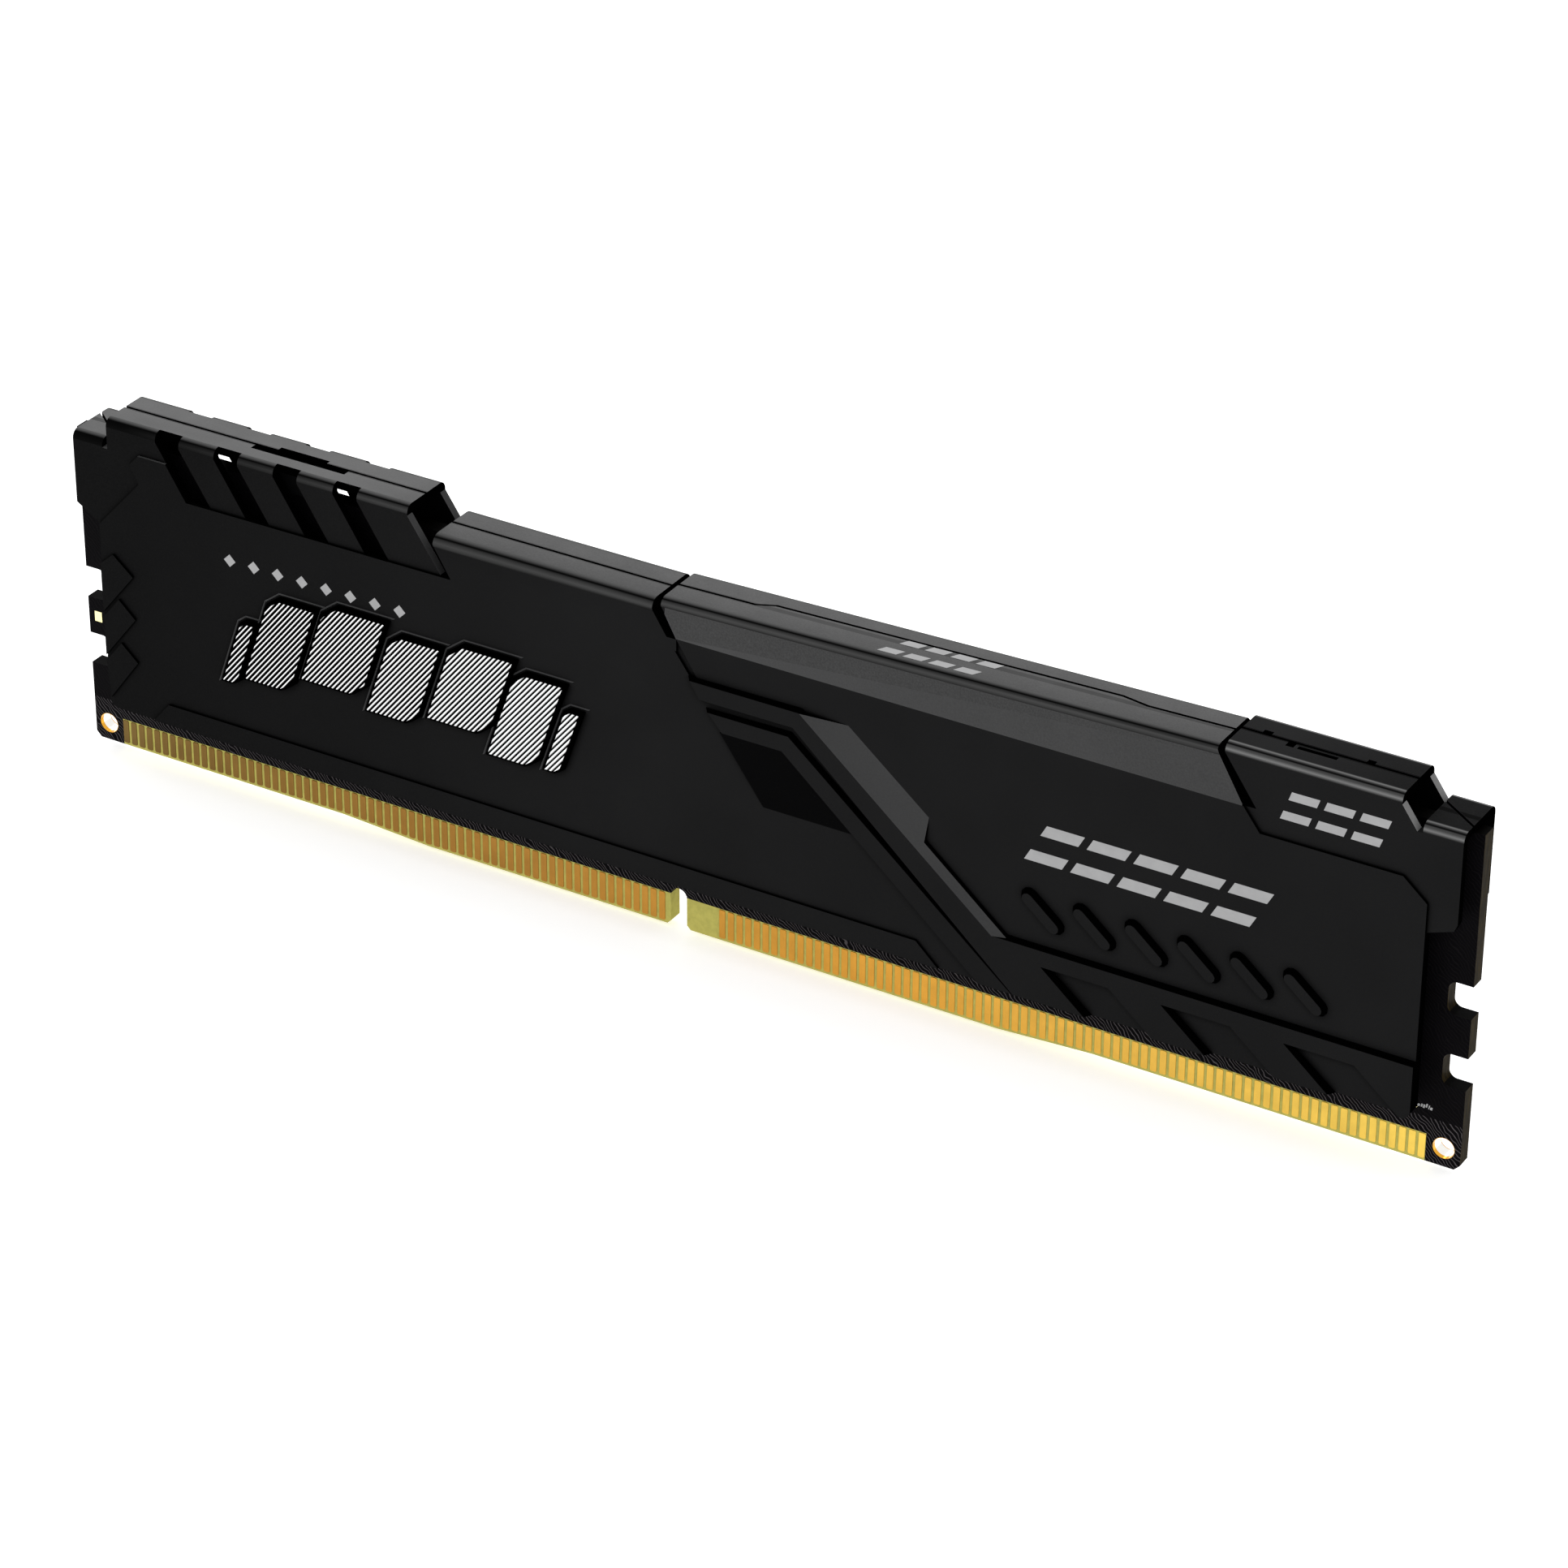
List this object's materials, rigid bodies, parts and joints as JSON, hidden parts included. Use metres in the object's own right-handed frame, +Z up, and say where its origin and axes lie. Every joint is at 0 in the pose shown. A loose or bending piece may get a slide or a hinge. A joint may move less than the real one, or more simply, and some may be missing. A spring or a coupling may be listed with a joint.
{
  "type": "ram module",
  "caption": "Long flat computer memory module: a circuit card with gold edge contacts, clamped between two folded black aluminium heat spreader halves with slots and raised bands.",
  "frame": {"origin": "middle of the module's footprint at the lowest point of the card's contact edge", "axes": "+X along the card's length, -Y out of the marked face whose left key-side group has the shorter contact bank, +Z up from the contact edge to the folded top"},
  "size_m": [0.1334, 0.0072, 0.0341],
  "materials": {
    "circuit_board": "black solder mask over glass fibre board",
    "gold_contact": "polished gold plating",
    "chip_package": "fine matte moulding compound",
    "thermal_pad": "soft grey silicone",
    "passive_body": "glazed ceramic with tinned ends",
    "spreader_sheet": "fine grained matte black coat",
    "spring_steel": "black oxide",
    "printed_mark": "flat light grey ink",
    "emblem_stripe": "satin silver white ink",
    "bare_laminate": "translucent yellow green glass fibre laminate",
    "solder": "bright solder"
  },
  "bodies": {
    "root": {"pcb_tongue_left": "circuit_board", "pcb_tongue_right": "circuit_board", "pcb_lower": "circuit_board", "pcb_waist_lower": "circuit_board", "pcb_middle": "circuit_board", "pcb_waist_upper": "circuit_board", "pcb_upper": "circuit_board", "contacts_front_left": "gold_contact", "contacts_front_right": "gold_contact", "dram_front_1": "chip_package", "dram_front_2": "chip_package", "dram_front_3": "chip_package", "dram_front_4": "chip_package", "dram_front_5": "chip_package", "dram_front_6": "chip_package", "dram_front_7": "chip_package", "dram_front_8": "chip_package", "thermal_pad_front": "thermal_pad", "resistor_array_front_1": "passive_body", "resistor_array_front_2": "passive_body", "resistor_array_front_3": "passive_body", "resistor_array_front_4": "passive_body", "resistor_array_front_5": "passive_body", "resistor_array_front_6": "passive_body", "contacts_back_left": "gold_contact", "contacts_back_right": "gold_contact", "dram_back_1": "chip_package", "dram_back_2": "chip_package", "dram_back_3": "chip_package", "dram_back_4": "chip_package", "dram_back_5": "chip_package", "dram_back_6": "chip_package", "dram_back_7": "chip_package", "dram_back_8": "chip_package", "thermal_pad_back": "thermal_pad", "resistor_array_back_1": "passive_body", "resistor_array_back_2": "passive_body", "resistor_array_back_3": "passive_body", "resistor_array_back_4": "passive_body", "resistor_array_back_5": "passive_body", "resistor_array_back_6": "passive_body", "spd_eeprom": "chip_package", "heat_spreader_front": "spreader_sheet", "heat_spreader_back": "spreader_sheet", "bridge_left": "spring_steel", "bridge_right": "spring_steel"}
  },
  "joints": []
}
